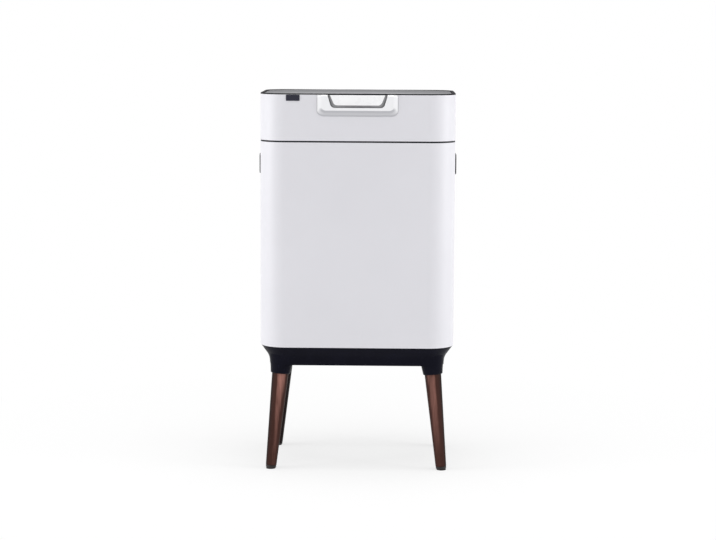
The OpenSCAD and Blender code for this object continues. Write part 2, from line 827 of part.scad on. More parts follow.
spring_l = 13.5;
spring_pocket_r = barrel_r - 1.4;
module lid_springs() {
    wire = 0.8;
    color("silver") for (s = [-1, 1]) translate([s * (EARS[2] + ear_w / 2 + fit), hinge_y, hinge_z])
        rotate([0, s * 90, 0]) coil(spring_pocket_r - slack - wire, wire, 5, spring_l);
}

// ---------- rotary damper ----------

// Points of a toothed outline; tooth centres start at angle first, step 360 / teeth
function tooth(teeth, a) =
    let (r = tooth_module * teeth / 2,
         tip = r + 0.9 * tooth_module,
         root = r - 1.15 * tooth_module,
         thick = PI * tooth_module / 2 - tooth_play / 2,
         at_root = (thick / 2 + 0.28 * tooth_module) / root * 180 / PI,
         at_pitch = thick / 2 / r * 180 / PI,
         at_tip = (thick / 2 - 0.42 * tooth_module) / tip * 180 / PI,
         side = [[root, at_root], [r, at_pitch], [tip, at_tip]],
         corners = concat([for (p = side) [p.x, -p.y]], reversed(side)))
    [for (p = corners) p.x * [cos(a + p.y), sin(a + p.y)]];
function toothed(teeth, first, count) =
    [for (k = [0:count - 1]) each tooth(teeth, first + k * 360 / teeth)];

// Draws a YZ outline about an axis at (y, z), running along X
module on_axis_x(x0, x1, y, z) {
    translate([x0, y, z]) rotate([90, 0, 90]) linear_extrude(x1 - x0) children();
}

module damper_gear() {
    color("ivory") union() {
        on_axis_x(sector_x, sector_x + sector_w, hinge_y, damper_z)
            polygon(toothed(damper_teeth, 90 + 180 / damper_teeth, damper_teeth));
        rod_x(damper_shaft_r, sector_x - 2, bracket_x - 2, hinge_y, damper_z);
    }
}

module damper_housing() {
    lug_r = 3;
    lug_t = 3;
    color("#2c2c30") difference() {
        union() {
            rod_x(housing_r, housing_x, bracket_x, hinge_y, damper_z);
            for (s = [-1, 1]) rod_x(lug_r, bracket_x - lug_t, bracket_x, hinge_y + s * lug_y, damper_z);
            span([bracket_x - lug_t, hinge_y - lug_y, damper_z - lug_r],
                [bracket_x, hinge_y + lug_y, damper_z + lug_r]);
        }
        rod_x(damper_shaft_r + run, housing_x - e, bracket_x - 1.5, hinge_y, damper_z);
        for (s = [-1, 1])
            rod_x(damper_screw_r + run, housing_x, bracket_x + e, hinge_y + s * lug_y, damper_z);
    }
}

module damper_screws() {
    color("silver") for (s = [-1, 1])
        translate([bracket_x - 3, hinge_y + s * lug_y, damper_z]) rotate([0, 90, 0])
            screw(damper_screw_r, 3 + bracket_t);
}

// ---------- lid ----------

crown_run = norm([half_w, half_d]) - 20;
crown_r = (crown_run * crown_run + lid_crown * lid_crown) / (2 * lid_crown);
crown_top = rim_top + 0.6 * lid_crown;

// Solid under a shallow spherical crown whose middle lies at level top
module crown(top, steps) {
    reach = norm([half_w, half_d]);
    rotate_extrude($fn = 128) polygon(concat(
        [[0, 0], [reach, 0]],
        [for (k = [steps:-1:0]) let (r = reach * k / steps)
            [r, top - crown_r + sqrt(crown_r * crown_r - r * r)]]));
}

// Everything of the lid ends at this line in front of the hinge
module before(y) {
    span([-body_w, -body_d, 0], [body_w, y, 2 * rim_top]);
}

module lid_panel() {
    color("#9c9ca2") difference() {
        intersection() {
            slab(lid_edge, lid_bottom, crown_top + e);
            crown(crown_top, 12);
            before(lid_rear);
        }
        intersection() {
            slab(lid_edge + lid_sheet, lid_bottom - e, crown_top);
            crown(crown_top - lid_sheet, 6);
            before(lid_rear - lid_sheet);
        }
        span([-bay_x, lid_rear - 2 * lid_sheet, lid_bottom - e],
            [bay_x, lid_rear + e, lid_bottom + liner_t + fit]);
        corner_clearance();
    }
}

liner_t = 3;
pocket_x = rocker_w / 2 + 6;
pocket_front = arm_front - hook_reach - 5;
pocket_run = 13;
pocket_back = arm_front + pocket_run;
liner_rib_inset = 22;
liner_rib_w = 3;
module lid_liner() {
    inset = lid_edge + lid_sheet + fit;
    end = bay_x - slack;
    color("#1c1c1f") difference() {
        union() {
            intersection() {
                union() {
                    slab(inset, lid_bottom, lid_bottom + liner_t);
                    band(inset, inset + 2, lid_bottom, rim_top - lid_crown - lid_sheet);
                    band(inset + liner_rib_inset, inset + liner_rib_inset + liner_rib_w,
                        lid_bottom - 1.2, lid_bottom + 1);
                }
                before(lid_rear - lid_sheet - fit);
            }
            span([-end, lid_rear + fit, lid_bottom], [end, hinge_y, rim_top]);
            span([-end, lid_rear - 8, lid_bottom], [end, lid_rear + 1, lid_bottom + liner_t]);
            rod_x(barrel_r, -end, end, hinge_y, hinge_z);
            on_axis_x(sector_x, sector_x + sector_w, hinge_y, hinge_z)
                polygon(concat([[0, 0]], toothed(sector_teeth, -90 - 360 / sector_teeth, 10)));
        }
        for (x = EARS)
            span([x - ear_w / 2 - slack, lid_rear - 2 * e, hinge_z - 12],
                [x + ear_w / 2 + slack, half_d, rim_top + e]);
        rod_x(hinge_pin_r + run, -body_w, body_w, hinge_y, hinge_z);
        for (s = [-1, 1]) {
            x0 = EARS[2] + ear_w / 2;
            x1 = x0 + spring_l + 1;
            rod_x(spring_pocket_r, s > 0 ? x0 : -x1, s > 0 ? x1 : -x0, hinge_y, hinge_z);
        }
        span([-pocket_x, pocket_front, lid_bottom - 2 * e],
            [pocket_x, pocket_back, lid_bottom + 2 * liner_t]);
        span([-keeper_w / 2 - 3, -half_d, lid_bottom - 3],
            [keeper_w / 2 + 3, keeper_screw_y + 7, lid_bottom]);
        at_keeper_screws() translate([0, 0, lid_bottom - e]) cylinder(r = keeper_screw_r, h = 2 * liner_t);
        corner_clearance();
    }
}

// Keeper: a springy strip whose window the latch hook passes through
keeper_w = rocker_w + 8;
keeper_screw_r = 1.25;
keeper_screw_y = pocket_back + 8.5;
module at_keeper_screws() {
    for (s = [-1, 1]) translate([s * keeper_w / 4, keeper_screw_y, 0]) children();
}
module lid_keeper() {
    bar_back = arm_front - 0.6;
    color("silver") difference() {
        span([-keeper_w / 2, bar_back - hook_reach - 0.4, lid_bottom - keeper_t],
            [keeper_w / 2, keeper_screw_y + 4, lid_bottom]);
        span([-rocker_w / 2 - 0.6, bar_back, lid_bottom - 2 * keeper_t],
            [rocker_w / 2 + 0.6, pocket_back - 0.5, lid_bottom + e]);
        at_keeper_screws() translate([0, 0, lid_bottom - 2 * keeper_t])
            cylinder(r = keeper_screw_r + run, h = 4 * keeper_t);
    }
}
module keeper_screws() {
    color("silver") at_keeper_screws()
        translate([0, 0, lid_bottom - keeper_t]) screw(keeper_screw_r, keeper_t + liner_t);
}

// ---------- push pad and latch ----------

module push_pad_carrier() {
    rim = pad_slack;
    top = hood_top - pad_top_gap;
    link_x = pad_bottom_w / 2 - 3;
    color("#55555a") union() {
        plate_y(plate_front, plate_back) pad_outline(rim, top);
        hull() {
            plate_y(plate_front - 0.2, plate_front + 0.2) pad_outline(rim, top);
            plate_y(plate_front - 2, plate_front) pad_outline(rim + pad_border, top);
        }
        span([-link_x, plate_back - e, pad_low + 2], [link_x, flange_front + e, carrier_flange_high]);
        span([-carrier_flange_x, flange_front, carrier_flange_low],
            [carrier_flange_x, flange_front + carrier_flange_t, carrier_flange_high]);
        span([-6, flange_front + e, plunger_low], [6, arm_front - 0.3, plunger_low + plunger_h]);
    }
}

module push_pad_cover() {
    top = hood_top - pad_top_gap;
    front = plate_front - 2;
    color("white") hull() {
        plate_y(front - 1.2, front) pad_outline(pad_slack + pad_border, top);
        plate_y(front - 1.8, front) pad_outline(pad_slack + pad_border + 0.8, top - 0.8);
    }
}

module pad_springs() {
    start = flange_front + carrier_flange_t;
    z = (carrier_flange_low + carrier_flange_high) / 2;
    color("silver") for (s = [-1, 1]) translate([s * pad_bottom_w * 0.38, start, z]) rotate([-90, 0, 0])
        coil(3.5, 0.5, 7, box_back - box_back_t - start);
}

module latch_rocker() {
    hook_low = lid_bottom + hook_gap;
    back = arm_front + arm_t;
    color("#e6e0cf") difference() {
        union() {
            on_axis_x(-rocker_w / 2, rocker_w / 2, 0, 0) polygon([
                [back, pivot_z], [back, hook_top], [arm_front - 0.6, hook_top],
                [arm_front - hook_reach, hook_low + 0.8], [arm_front - hook_reach, hook_low],
                [arm_front, hook_low], [arm_front, pivot_z]]);
            rod_x(4, -rocker_w / 2, rocker_w / 2, pivot_y, pivot_z);
        }
        rod_x(latch_pin_r + run, -rocker_w, rocker_w, pivot_y, pivot_z);
    }
}

module latch_pin() {
    color("silver") rod_x(latch_pin_r, -rocker_w / 2 - 4, rocker_w / 2 + 4, pivot_y, pivot_z);
}

module latch_spring() {
    start = arm_front + arm_t;
    color("silver") translate([0, start, plunger_low + plunger_h / 2]) rotate([-90, 0, 0])
        coil(3, 0.5, 5, box_back - box_back_t - start);
}

body_shell();
seam_ring();
base_tray();
floor_pan();
base_screws();
leg_front_left();
leg_front_right();
leg_rear_left();
leg_rear_right();
leg_studs();
stud_inserts();
foot_glides();
glide_nails();
side_grip_left();
side_grip_right();
bucket();
bail();
bail_grip();
hood_shell();
hood_frame();
blank_plate();
bezel();
bezel_screws();
push_pad_carrier();
push_pad_cover();
pad_springs();
latch_rocker();
latch_pin();
latch_spring();
hinge_pin();
lid_springs();
damper_housing();
damper_gear();
damper_screws();
lid_panel();
lid_liner();
lid_bumpers();
lid_keeper();
keeper_screws();
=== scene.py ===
# %% [markdown]
# # A push-open bin on wooden legs
# This script dresses a bin whose parts were drawn in a CAD program. The frame below holds every part at
# its real size and place, in metres: +Z is up, -Y is the front with the push pad, and the origin is on
# the floor. Blender adds what a CAD model lacks: finishes, soft edges, light and a camera. Parts that are
# right as they are only get a finish. Parts whose look depends on smooth curves are made again here, in
# the same space.

# %% Load the frame
import json
import math

import bmesh
import bpy
from mathutils import Matrix, Vector


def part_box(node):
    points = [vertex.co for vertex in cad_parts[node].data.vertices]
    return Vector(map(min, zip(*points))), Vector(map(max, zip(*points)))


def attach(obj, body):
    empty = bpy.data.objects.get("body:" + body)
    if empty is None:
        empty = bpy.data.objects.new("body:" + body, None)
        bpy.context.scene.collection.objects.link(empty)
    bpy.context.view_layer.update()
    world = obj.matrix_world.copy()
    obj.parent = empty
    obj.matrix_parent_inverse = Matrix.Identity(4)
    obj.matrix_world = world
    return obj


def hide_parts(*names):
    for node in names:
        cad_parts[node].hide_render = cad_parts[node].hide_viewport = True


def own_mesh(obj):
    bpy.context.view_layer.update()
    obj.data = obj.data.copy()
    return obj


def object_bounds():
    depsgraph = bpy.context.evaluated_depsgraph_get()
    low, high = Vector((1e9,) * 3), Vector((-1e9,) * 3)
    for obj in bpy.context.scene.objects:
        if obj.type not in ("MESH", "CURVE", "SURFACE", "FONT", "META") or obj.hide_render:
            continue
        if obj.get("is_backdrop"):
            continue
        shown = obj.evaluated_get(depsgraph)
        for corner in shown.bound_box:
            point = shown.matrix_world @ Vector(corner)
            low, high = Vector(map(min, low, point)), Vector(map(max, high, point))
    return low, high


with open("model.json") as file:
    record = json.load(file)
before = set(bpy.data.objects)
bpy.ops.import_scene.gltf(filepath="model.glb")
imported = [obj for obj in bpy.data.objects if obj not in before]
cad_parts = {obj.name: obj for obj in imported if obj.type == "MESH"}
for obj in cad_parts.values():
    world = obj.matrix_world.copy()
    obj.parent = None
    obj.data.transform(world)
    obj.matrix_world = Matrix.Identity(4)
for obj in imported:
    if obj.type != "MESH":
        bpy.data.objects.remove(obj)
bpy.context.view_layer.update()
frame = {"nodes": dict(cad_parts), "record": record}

MM = 0.001


def box_mm(node):
    """The two corners of a CAD part's box, in whole hundredths of a millimetre."""
    return [[round(value / MM, 2) for value in corner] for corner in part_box(node)]


print("parts in the frame:", len(frame["nodes"]))

# %% [markdown]
# ## The camera
# The photograph was taken from a little above the bin and almost straight in front of it, with a long
# lens, so upright edges stay nearly parallel. A camera has no natural roll or aim of its own: we build
# its rotation from the direction it looks in, then turn it a trace about that direction, because the
# photograph is not quite level. The lens is given in millimetres for a 36 mm wide sensor, which is
# Blender's default.

# %% Place the camera
EYE = Vector((0.0632, -3.6235, 0.8207))
TURN_TO_LEFT = 0.0174
LOOK_DOWN = 0.1259
ROLL = 0.0052
LENS_MM = 96.6

camera_data = bpy.data.cameras.new("front_camera")
camera_data.lens = LENS_MM
camera = bpy.data.objects.new("front_camera", camera_data)
bpy.context.scene.collection.objects.link(camera)
aim = Matrix.Rotation(TURN_TO_LEFT, 4, "Z") @ Matrix.Rotation(math.pi / 2 - LOOK_DOWN, 4, "X")
camera.matrix_world = Matrix.Translation(EYE) @ aim @ Matrix.Rotation(ROLL, 4, "Z")
bpy.context.scene.camera = camera
print("camera looks along", [round(x, 3) for x in aim.to_3x3() @ Vector((0, 0, -1))])

# %% [markdown]
# ## Floor and background
# The bin stands on a white studio floor. A floor could simply be a big plane, but then its far edge shows
# as a line. Here the plane keeps its real, lit surface near the feet, so the bin has a shadow, and fades
# to plain white further out. The fade is drawn round the bin's own place, so it doesn't change when the
# camera moves.

# %% Helpers for shaders
SEEN_RAYS = ("Is Camera Ray", "Is Glossy Ray", "Is Transmission Ray")


def new_node(tree, kind, **values):
    """Adds a shader node and sets its inputs by name."""
    node = tree.nodes.new(kind)
    for name, value in values.items():
        node.inputs[name.replace("_", " ")].default_value = value
    return node


def remap(tree, source, low, high, new_low, new_high):
    """Stretches a value from one range to another."""
    node = new_node(tree, "ShaderNodeMapRange", From_Min=low, From_Max=high,
                    To_Min=new_low, To_Max=new_high)
    tree.links.new(source, node.inputs["Value"])
    return node.outputs["Result"]


def seen_directly(tree):
    """1 for rays from the camera, from mirrors and through glass; 0 for light that only bounces."""
    path = tree.nodes.new("ShaderNodeLightPath")
    total = path.outputs[SEEN_RAYS[0]]
    for name in SEEN_RAYS[1:]:
        either = tree.nodes.new("ShaderNodeMath")
        either.operation = "MAXIMUM"
        tree.links.new(total, either.inputs[0])
        tree.links.new(path.outputs[name], either.inputs[1])
        total = either.outputs[0]
    return total


print("rays that see plain white:", SEEN_RAYS)

# %% Make the floor
FLOOR_SIZE = 14.0
FLOOR_WHITE = 0.93
SHADOW_REACH = (0.20, 0.95)
SHADOW_VEIL = 0.66


def make_floor():
    """A plane whose lit surface fades to plain white with distance from the bin."""
    bpy.ops.mesh.primitive_plane_add(size=FLOOR_SIZE, location=(0, 0, 0))
    floor = bpy.context.object
    floor.name = "studio_floor"
    material = bpy.data.materials.new("studio_floor")
    material.use_nodes = True
    tree = material.node_tree
    lit = tree.nodes["Principled BSDF"]
    lit.inputs["Base Color"].default_value = (FLOOR_WHITE, FLOOR_WHITE, FLOOR_WHITE, 1)
    lit.inputs["Roughness"].default_value = 0.8
    lit.inputs["Specular IOR Level"].default_value = 0.0
    glow = new_node(tree, "ShaderNodeEmission", Color=(1, 1, 1, 1), Strength=1.0)
    place = tree.nodes.new("ShaderNodeNewGeometry")
    distance = tree.nodes.new("ShaderNodeVectorMath")
    distance.operation = "LENGTH"
    tree.links.new(place.outputs["Position"], distance.inputs[0])
    fade = remap(tree, distance.outputs["Value"], *SHADOW_REACH, SHADOW_VEIL, 1.0)
    amount = tree.nodes.new("ShaderNodeMath")
    amount.operation = "MULTIPLY"
    tree.links.new(fade, amount.inputs[0])
    tree.links.new(seen_directly(tree), amount.inputs[1])
    mix = tree.nodes.new("ShaderNodeMixShader")
    tree.links.new(amount.outputs[0], mix.inputs["Fac"])
    tree.links.new(lit.outputs[0], mix.inputs[1])
    tree.links.new(glow.outputs[0], mix.inputs[2])
    tree.links.new(mix.outputs[0], tree.nodes["Material Output"].inputs["Surface"])
    floor.data.materials.append(material)
    floor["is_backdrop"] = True
    return floor


floor = make_floor()
print(floor.name, "is", FLOOR_SIZE, "m wide")

# %% [markdown]
# ## Light
# The photograph has soft light from both sides: the rounded corners are nearly white and the flat front
# is a shade darker. Two tall soft boxes beside the bin do that, and a third one above lights the lid. The
# world adds an even fill, and shows plain white to the camera. The levels are kept plain, so that a
# colour renders about as it is written.

# %% Set the lights
FILL = 0.635
SIDE_LIGHTS = {"left_soft_box": (-2.3, -0.5, 1.1), "right_soft_box": (2.3, -0.5, 1.1)}
SIDE_SIZE = (1.2, 1.8)
SIDE_POWER = 24.0
TOP_LIGHT = (0, -0.4, 2.6)
TOP_SIZE = (1.6, 1.6)
TOP_POWER = 15.0


def soft_box(name, place, target, width, height, power):
    """A rectangular lamp at a place, facing a target."""
    data = bpy.data.lights.new(name, "AREA")
    data.shape = "RECTANGLE"
    data.size = width
    data.size_y = height
    data.energy = power
    lamp = bpy.data.objects.new(name, data)
    bpy.context.scene.collection.objects.link(lamp)
    lamp.location = place
    lamp.rotation_euler = (Vector(target) - Vector(place)).to_track_quat("-Z", "Y").to_euler()
    return lamp


for name, place in SIDE_LIGHTS.items():
    soft_box(name, place, (0, 0, 0.4), *SIDE_SIZE, SIDE_POWER)
soft_box("top_soft_box", TOP_LIGHT, (0, 0, 0.5), *TOP_SIZE, TOP_POWER)

world = bpy.data.worlds.new("studio_world")
bpy.context.scene.world = world
world.use_nodes = True
fill = world.node_tree.nodes["Background"]
fill.inputs["Color"].default_value = (1, 1, 1, 1)
strength = remap(world.node_tree, seen_directly(world.node_tree), 0.0, 1.0, FILL, 1.0)
world.node_tree.links.new(strength, fill.inputs["Strength"])
bpy.context.scene.view_settings.view_transform = "Standard"

# %% [markdown]
# ## How the finishes are made
# Every finish starts from one physically based shader. What makes it look like a real surface is small
# variation: paint has a faint orange-peel, plastic a fine grain, brushed metal long scratches. All
# patterns are computed from the point's place on the piece, so they need no unwrapping and stay put when
# a piece moves.

# %% Start a finish, and put one on


def plain(name, color, roughness, metallic=0.0):
    """A material with its base values set, ready for patterns."""
    material = bpy.data.materials.new(name)
    material.use_nodes = True
    shader = material.node_tree.nodes["Principled BSDF"]
    shader.inputs["Base Color"].default_value = (*color, 1)
    shader.inputs["Roughness"].default_value = roughness
    shader.inputs["Metallic"].default_value = metallic
    return material


def cover(names, material):
    """Gives CAD parts a finish."""
    for name in names:
        slots = frame["nodes"][name].data.materials
        if not slots:
            slots.append(material)
        for i in range(len(slots)):
            slots[i] = material


print("parts that need a finish:", len(frame["nodes"]))

# %% Patterns that make it look real


def pattern(material, scale, stretch=(1, 1, 1), turn=(0, 0, 0), detail=3.0):
    """Noise over the piece, with its lumps drawn out or turned by a mapping."""
    tree = material.node_tree
    place = tree.nodes.new("ShaderNodeTexCoord")
    mapping = new_node(tree, "ShaderNodeMapping", Scale=stretch, Rotation=turn)
    noise = new_node(tree, "ShaderNodeTexNoise", Scale=scale, Detail=detail)
    tree.links.new(place.outputs["Object"], mapping.inputs["Vector"])
    tree.links.new(mapping.outputs["Vector"], noise.inputs["Vector"])
    return noise.outputs["Fac"]


def vary_color(material, source, dark, light, low=0.35, high=0.65):
    """Base colour that runs from dark to light with a pattern."""
    tree = material.node_tree
    mix = tree.nodes.new("ShaderNodeMix")
    mix.data_type = "RGBA"
    colors = [s for s in mix.inputs if s.type == "RGBA"]
    colors[0].default_value = (*dark, 1)
    colors[1].default_value = (*light, 1)
    tree.links.new(remap(tree, source, low, high, 0.0, 1.0), mix.inputs["Factor"])
    result = [s for s in mix.outputs if s.type == "RGBA"][0]
    tree.links.new(result, tree.nodes["Principled BSDF"].inputs["Base Color"])
    return result


def vary_roughness(material, source, low, high):
    """Roughness that runs between two values with a pattern."""
    tree = material.node_tree
    roughness = remap(tree, source, 0.35, 0.65, low, high)
    tree.links.new(roughness, tree.nodes["Principled BSDF"].inputs["Roughness"])


def add_bump(material, source, depth, strength=1.0):
    """Fine relief of a given depth in metres."""
    tree = material.node_tree
    bump = new_node(tree, "ShaderNodeBump", Strength=strength, Distance=depth)
    tree.links.new(source, bump.inputs["Height"])
    tree.links.new(bump.outputs["Normal"], tree.nodes["Principled BSDF"].inputs["Normal"])


def shades(color, spread):
    """A darker and a lighter version of a colour."""
    return [c * (1 - spread) for c in color], [min(1.0, c * (1 + spread)) for c in color]


print("mid grey, a tenth darker and lighter:", shades((0.5, 0.5, 0.5), 0.1))

# %% [markdown]
# ## White powder coat
# Body and hood are steel sheet with a baked powder coat: off-white, low gloss, with a faint orange-peel
# that softens reflections. A broad, very weak change of colour keeps large panels from looking computed.

# %% Make the powder coat
WHITE = (0.735, 0.73, 0.77)


def powder_coat():
    """Baked powder paint, off-white, with a faint orange-peel."""
    material = plain("white_powder_coat", WHITE, 0.42)
    vary_color(material, pattern(material, 5.0), *shades(WHITE, 0.012))
    vary_roughness(material, pattern(material, 60.0), 0.38, 0.46)
    add_bump(material, pattern(material, 420.0, detail=1.0), 0.00004, 0.35)
    return material


white_coat = powder_coat()
cover(["body_shell", "hood_shell"], white_coat)
print(white_coat.name, "has", len(white_coat.node_tree.nodes), "nodes")

# %% [markdown]
# ## Black and dark plastics
# The tray under the body is satin black with a trace of blue. Rim, seam ring, grips and liner are a dark
# plastic with the fine grain that moulds are etched with. The bucket is softer and greyer. One function
# makes them all, because they differ only in colour, gloss and the size of the grain.

# %% Make the plastics


def moulded(name, color, gloss, grain, grain_depth, reflect=0.35, spread=0.12):
    """Plastic with a moulded grain: grain is lumps per metre, gloss the mean roughness."""
    material = plain(name, color, gloss)
    material.node_tree.nodes["Principled BSDF"].inputs["Specular IOR Level"].default_value = reflect
    vary_color(material, pattern(material, 30.0), *shades(color, spread))
    vary_roughness(material, pattern(material, 90.0), gloss - 0.06, gloss + 0.06)
    add_bump(material, pattern(material, grain, detail=2.0), grain_depth, 0.5)
    return material


tray_black = moulded("tray_black", (0.0052, 0.0052, 0.0108), 0.38, 900.0, 0.00004, 0.05)
trim_dark = moulded("trim_dark", (0.012, 0.012, 0.015), 0.50, 1300.0, 0.00005, 0.2)
plate_navy = moulded("plate_navy", (0.026, 0.026, 0.042), 0.42, 1300.0, 0.00003, 0.2)
rim_dark = moulded("rim_dark", (0.010, 0.010, 0.012), 0.62, 1300.0, 0.00005, 0.04)
liner_black = moulded("liner_black", (0.022, 0.022, 0.024), 0.55, 1100.0, 0.00006)
bucket_grey = moulded("bucket_grey", (0.050, 0.050, 0.055), 0.48, 500.0, 0.00005, spread=0.03)
glide_black = moulded("glide_black", (0.018, 0.014, 0.013), 0.60, 1500.0, 0.00006)
grip_black = moulded("grip_black", (0.020, 0.020, 0.022), 0.55, 1200.0, 0.00006)
# The pad's carrier is a real part, made this dark grey to stand in for the shade in the chamfer round the
# white pad: painted shade.
pad_carrier_shade_grey = moulded("pad_carrier_shade_grey", (0.27, 0.27, 0.28), 0.45, 1200.0, 0.00003)
pad_white = moulded("pad_white", (0.955, 0.955, 0.965), 0.30, 300.0, 0.00002, 0.5, 0.015)
natural_plastic = moulded("natural_plastic", (0.72, 0.69, 0.60), 0.45, 700.0, 0.00003)
soft_rubber = moulded("soft_rubber", (0.012, 0.012, 0.012), 0.75, 1600.0, 0.00008, 0.2)

cover(["base_tray"], tray_black)
cover(["seam_ring", "side_grip_left", "side_grip_right", "damper_housing"], trim_dark)
cover(["blank_plate"], plate_navy)
cover(["hood_frame"], rim_dark)
cover(["lid_liner"], liner_black)
cover(["bucket"], bucket_grey)
cover(["bail_grip"], grip_black)
cover(["foot_glides"], glide_black)
cover(["push_pad_carrier"], pad_carrier_shade_grey)
cover(["push_pad_cover"], pad_white)
cover(["latch_rocker", "damper_gear"], natural_plastic)
cover(["lid_bumpers"], soft_rubber)
plastics = (tray_black, trim_dark, plate_navy, rim_dark, liner_black, bucket_grey, glide_black, grip_black,
            pad_carrier_shade_grey, pad_white, natural_plastic, soft_rubber)
print("plastics:", [material.name for material in plastics])

# %% [markdown]
# ## Metals
# The lid is brushed from side to side, so its scratches run along X: a noise drawn out more than a
# hundredfold in that direction gives both the streaks in the roughness and their relief. The bezel is
# painted in satin silver. Screws, pins, wires and the floor pan are plated, and the legs' inserts are
# turned brass, with faint blotches rather than scratches.

# %% Colours that change over a piece


def combine(tree, operation, a, b=0.0):
    """Arithmetic on one or two values; b may be a plain number."""
    node = tree.nodes.new("ShaderNodeMath")
    node.operation = operation
    tree.links.new(a, node.inputs[0])
    if isinstance(b, float):
        node.inputs[1].default_value = b
    else:
        tree.links.new(b, node.inputs[1])
    return node.outputs[0]


def along(material, axis, start, end, at_start, at_end):
    """A value that runs evenly from one place to another along X, Y or Z of the piece."""
    tree = material.node_tree
    place = tree.nodes.new("ShaderNodeTexCoord")
    split = tree.nodes.new("ShaderNodeSeparateXYZ")
    tree.links.new(place.outputs["Object"], split.inputs[0])
    return remap(tree, split.outputs[axis], start, end, at_start, at_end)


def blend_colors(tree, amount, color_output, other):
    """Mixes a plain colour over a pattern's colour by an amount from 0 to 1."""
    mix = tree.nodes.new("ShaderNodeMix")
    mix.data_type = "RGBA"
    inputs = [s for s in mix.inputs if s.type == "RGBA"]
    tree.links.new(color_output, inputs[0])
    inputs[1].default_value = (*other, 1)
    tree.links.new(amount, mix.inputs["Factor"])
    return [s for s in mix.outputs if s.type == "RGBA"][0]


def link_color(material, color_output):
    """Makes a computed colour the base colour."""
    tree = material.node_tree
    tree.links.new(color_output, tree.nodes["Principled BSDF"].inputs["Base Color"])


def toward(material, direction):
    """How much the surface faces a direction: 1 straight at it, 0 at right angles."""
    tree = material.node_tree
    place = tree.nodes.new("ShaderNodeTexCoord")
    dot = tree.nodes.new("ShaderNodeVectorMath")
    dot.operation = "DOT_PRODUCT"
    dot.inputs[1].default_value = direction
    tree.links.new(place.outputs["Normal"], dot.inputs[0])
    return dot.outputs["Value"]


lid_low, lid_high = box_mm("lid_panel")
print("the lid runs from y =", lid_low[1], "to", lid_high[1], "mm")

# %% Brush the lid
STREAK = (2.0, 260.0, 260.0)
# The painted reflection on the lid grows from LID_REAR_Y to LID_FRONT_Y.
LID_REAR_Y = 0.09
LID_FRONT_Y = -0.118


def brushed(name, color, front_reflection_color, edge_highlight_color, roughness, edge_tint):
    """Metal with long parallel scratches along X. The scratches dull it at a low angle: that is edge_tint.

    Its colour is painted lighter towards the front, a painted reflection, and lightest over its rounded
    edge, a painted highlight.
    """
    material = plain(name, color, roughness, 1.0)
    tree = material.node_tree
    shader = tree.nodes["Principled BSDF"]
    shader.inputs["Specular Tint"].default_value = (*edge_tint, 1)
    streaks = pattern(material, 6.0, STREAK)
    flat_color = vary_color(material, streaks, *shades(color, 0.10))
    # Painted reflection: the colour runs lighter towards the front of the lid.
    front_reflection_amount = along(material, "Y", LID_REAR_Y, LID_FRONT_Y, 0.0, 1.0)
    flat_color = blend_colors(tree, combine(tree, "POWER", front_reflection_amount, 3.0), flat_color, front_reflection_color)
    # Painted highlight: lightest where the surface turns over the lid's rounded edge.
    edge_highlight_amount = remap(tree, toward(material, (0, 0, 1)), 0.90, 0.985, 1.0, 0.0)
    link_color(material, blend_colors(tree, edge_highlight_amount, flat_color, edge_highlight_color))
    vary_roughness(material, streaks, roughness - 0.07, roughness + 0.07)
    add_bump(material, streaks, 0.00003, 0.3)
    return material


# The front colour is a painted reflection and the edge colour a painted highlight.
lid_steel = brushed("lid_steel", color=(0.27, 0.27, 0.282), front_reflection_color=(0.58, 0.58, 0.60),
                    edge_highlight_color=(0.72, 0.72, 0.74), roughness=0.38, edge_tint=(0.35, 0.35, 0.36))
cover(["lid_panel"], lid_steel)
print("lid:", lid_steel.name)

# %% Paint the bezel


def satin_paint(name, color, underside_shade_color, edge_shadow_color, roughness, metallic):
    """Silver paint: metal flakes under a dull lacquer.

    Slopes that face down are painted darker, as painted shade, and faces that turn to the side are painted
    near black, as a painted shadow line.
    """
    material = plain(name, color, roughness, metallic)
    tree = material.node_tree
    # Painted shade: darker where the surface faces down.
    face_color = vary_color(material, toward(material, (0, 0, -1)), color, underside_shade_color, 0.03, 0.22)
    # Painted shadow: near black where the surface turns to the side.
    sideways = combine(tree, "ABSOLUTE", toward(material, (1, 0, 0)))
    link_color(material, blend_colors(tree, remap(tree, sideways, 0.34, 0.62, 0.0, 1.0), face_color, edge_shadow_color))
    vary_roughness(material, pattern(material, 40.0), roughness - 0.03, roughness + 0.03)
    add_bump(material, pattern(material, 1500.0), 0.00001, 0.3)
    return material


# The underside colour is painted shade and the edge colour a painted shadow line.
silver_satin = satin_paint("silver_satin", color=(0.88, 0.88, 0.90), underside_shade_color=(0.50, 0.50, 0.53),
                           edge_shadow_color=(0.12, 0.12, 0.13), roughness=0.34, metallic=0.45)
cover(["bezel"], silver_satin)
print("bezel:", silver_satin.name)

# %% Plate the small metal parts


def plated(name, color, roughness):
    """Smooth plated or drawn metal with faint blotches."""
    material = plain(name, color, roughness, 1.0)
    vary_color(material, pattern(material, 140.0), *shades(color, 0.08))
    vary_roughness(material, pattern(material, 220.0), roughness - 0.05, roughness + 0.06)
    return material


zinc = plated("zinc_plate", (0.62, 0.62, 0.64), 0.30)
wire = plated("bright_wire", (0.66, 0.66, 0.68), 0.20)
brass = plated("turned_brass", (0.72, 0.53, 0.25), 0.28)

cover(["floor_pan", "base_screws", "leg_studs", "glide_nails", "bezel_screws", "damper_screws",
       "keeper_screws", "latch_pin", "hinge_pin"], zinc)
cover(["bail", "pad_springs", "latch_spring", "lid_springs", "lid_keeper"], wire)
cover(["stud_inserts"], brass)
print("plated or turned:", [material.name for material in (zinc, wire, brass)])

